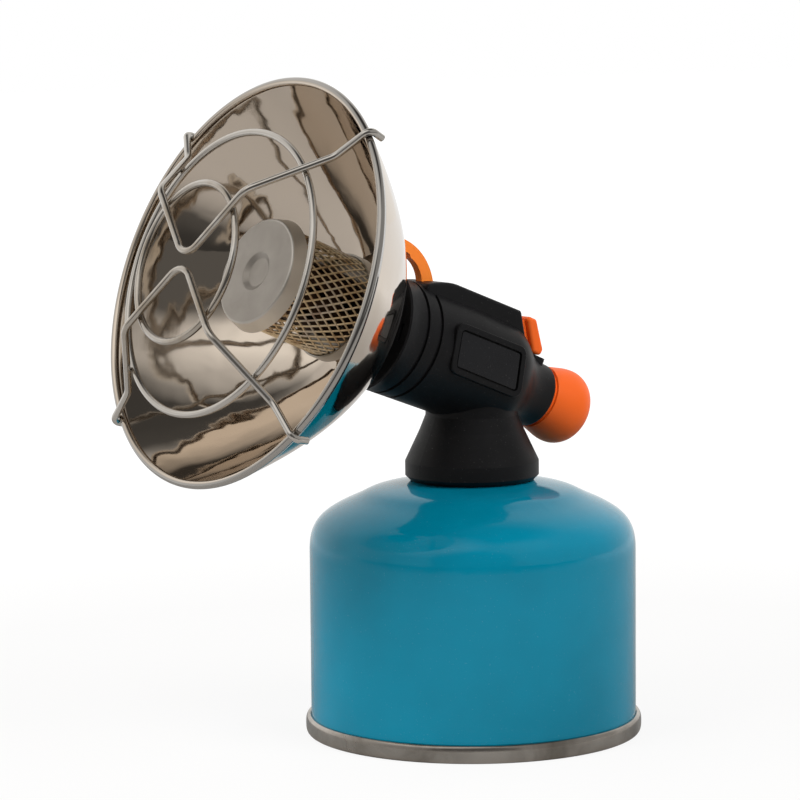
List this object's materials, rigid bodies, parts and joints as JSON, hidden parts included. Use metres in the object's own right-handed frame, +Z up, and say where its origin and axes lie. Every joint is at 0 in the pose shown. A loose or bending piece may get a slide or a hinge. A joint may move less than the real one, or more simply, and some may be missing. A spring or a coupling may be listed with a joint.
{
  "type": "portable gas heater",
  "caption": "Portable radiant gas heater: a tilted round reflector with wire guard and a burner on a black valve head, screwed onto a valved gas canister.",
  "frame": {"origin": "centre of the canister's foot, on the ground", "axes": "+Z up, -Y the way the reflector faces, +X the side with the badge plate"},
  "size_m": [0.1334, 0.1769, 0.2166],
  "materials": {
    "canister_paint": "gloss paint",
    "tinplate": "bright tinplate",
    "white_plastic": "plain",
    "seal_rubber": "plain",
    "brass": "machined",
    "black_plastic": "fine satin",
    "badge_plastic": "gloss",
    "zinc_steel": "zinc plated",
    "orange_plastic": "satin",
    "tube_steel": "satin, heat stained",
    "mesh_steel": "heat tinted",
    "cap_steel": "brushed",
    "mirror_steel": "polished",
    "wire_chrome": "bright",
    "lead_sleeve": "silicone sleeve",
    "ceramic": "glazed ceramic"
  },
  "bodies": {
    "canister": {"canister_shell": "canister_paint", "canister_base": "tinplate", "canister_valve_cup": "tinplate", "canister_valve_housing": "white_plastic", "canister_valve_gasket": "seal_rubber", "canister_valve_stem": "brass"},
    "heater_head": {"housing_right": "black_plastic", "housing_left": "black_plastic", "housing_screws": "zinc_steel", "badge_plate": "badge_plastic", "hang_loop": "orange_plastic", "valve_body": "brass", "inlet_seal": "seal_rubber", "inlet_pin": "brass", "gland_nut": "brass", "gas_jet": "brass", "mixer_tube": "tube_steel", "burner_base": "tube_steel", "burner_mesh": "mesh_steel", "burner_inner_tube": "mesh_steel", "burner_cap": "cap_steel", "reflector": "mirror_steel", "reflector_screws": "zinc_steel", "guard_ring_outer": "wire_chrome", "guard_ring_inner": "wire_chrome", "guard_wire_upper": "wire_chrome", "guard_wire_lower": "wire_chrome", "igniter_body": "black_plastic", "igniter_lead": "lead_sleeve", "electrode_insulator": "ceramic", "electrode_rod": "tube_steel"},
    "knob": {"knob": "orange_plastic", "valve_spindle": "brass"},
    "igniter_button": {"igniter_button": "orange_plastic", "igniter_plunger": "black_plastic"}
  },
  "joints": [
    {"name": "head_lift", "type": "slide", "parent": "canister", "child": "heater_head", "axis": [0, 0, 1], "range_m": [0, 0.03]},
    {"name": "knob_turn", "type": "hinge", "parent": "heater_head", "child": "knob", "pos_m": [0, 0, 0.1203], "axis": [0, -0.9198, 0.3923], "range_deg": [0, 450]},
    {"name": "igniter_press", "type": "slide", "parent": "heater_head", "child": "igniter_button", "axis": [0, -0.9198, 0.3923], "range_m": [0, 0.0036], "stiffness_N_per_m": 1500, "springref_m": -0.002}
  ]
}
